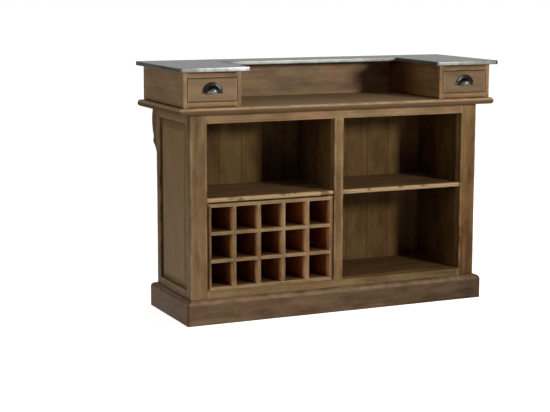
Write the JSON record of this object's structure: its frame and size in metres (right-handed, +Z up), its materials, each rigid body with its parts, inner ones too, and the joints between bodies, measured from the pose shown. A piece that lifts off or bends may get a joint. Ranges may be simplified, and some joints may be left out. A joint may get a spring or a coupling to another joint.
{
  "type": "bar cabinet",
  "caption": "Freestanding wooden bar cabinet with raised zinc-topped bar, drawers under its wings, round-nosed counter, open shelves, wine rack and panelled sides on a plinth.",
  "frame": {"origin": "on the floor, under the middle of the whole object's box", "axes": "+X to the right along the bar as the server sees it, +Y towards the customer, +Z up"},
  "size_m": [1.4, 0.5, 1],
  "materials": {
    "frame_wood": "waxed reclaimed wood, worn edges",
    "panel_wood": "waxed reclaimed wood",
    "plinth_wood": "waxed reclaimed wood, scuffed",
    "inside_wood": "dull reclaimed wood",
    "shelf_wood": "waxed reclaimed wood, light worn nose",
    "counter_wood": "waxed reclaimed wood, satin",
    "bar_wood": "waxed reclaimed wood",
    "core_wood": "plain sawn wood",
    "rack_wood": "waxed reclaimed wood",
    "drawer_front_wood": "waxed reclaimed wood, worn edges",
    "drawer_box_wood": "plain planed wood",
    "zinc": "brushed zinc sheet, dull patina",
    "pull_metal": "dark burnished casting"
  },
  "bodies": {
    "carcase": {"back_boards": "inside_wood", "bar_back": "bar_wood", "battens": "inside_wood", "bottom_board": "inside_wood", "box_bottoms": "bar_wood", "box_top_rails": "bar_wood", "corbels": "frame_wood", "counter_top": "counter_wood", "front_rail_bottom": "frame_wood", "front_rail_top": "frame_wood", "front_stile_centre": "frame_wood", "front_stile_left": "frame_wood", "front_stile_right": "frame_wood", "left_box_inner_side": "bar_wood", "left_box_outer_side": "bar_wood", "left_top_board": "core_wood", "partition": "inside_wood", "plinth_front": "plinth_wood", "plinth_left": "plinth_wood", "plinth_rear": "plinth_wood", "plinth_right": "plinth_wood", "rack_bottom": "rack_wood", "rack_dividers": "rack_wood", "rack_shelves": "rack_wood", "rack_sides": "rack_wood", "rack_top": "rack_wood", "rear_muntins": "frame_wood", "rear_panels": "panel_wood", "rear_rail_bottom": "frame_wood", "rear_rail_top": "frame_wood", "rear_stile_left": "frame_wood", "rear_stile_right": "frame_wood", "rear_top_board": "core_wood", "right_box_inner_side": "bar_wood", "right_box_outer_side": "bar_wood", "right_top_board": "core_wood", "shelf_left": "shelf_wood", "shelf_right": "shelf_wood", "side_left_bottom_rail": "frame_wood", "side_left_front_stile": "frame_wood", "side_left_panel": "panel_wood", "side_left_rear_stile": "frame_wood", "side_left_top_rail": "frame_wood", "side_linings": "inside_wood", "side_right_bottom_rail": "frame_wood", "side_right_front_stile": "frame_wood", "side_right_panel": "panel_wood", "side_right_rear_stile": "frame_wood", "side_right_top_rail": "frame_wood", "zinc_top": "zinc"},
    "left_drawer": {"left_drawer_back": "drawer_box_wood", "left_drawer_bottom": "drawer_box_wood", "left_drawer_cup_pull": "pull_metal", "left_drawer_front": "drawer_front_wood", "left_drawer_sides": "drawer_box_wood"},
    "right_drawer": {"right_drawer_back": "drawer_box_wood", "right_drawer_bottom": "drawer_box_wood", "right_drawer_cup_pull": "pull_metal", "right_drawer_front": "drawer_front_wood", "right_drawer_sides": "drawer_box_wood"}
  },
  "joints": [
    {"name": "left_drawer_slide", "type": "slide", "parent": "carcase", "child": "left_drawer", "axis": [0, -1, 0], "range_m": [0, 0.3]},
    {"name": "right_drawer_slide", "type": "slide", "parent": "carcase", "child": "right_drawer", "axis": [0, -1, 0], "range_m": [0, 0.3]}
  ]
}
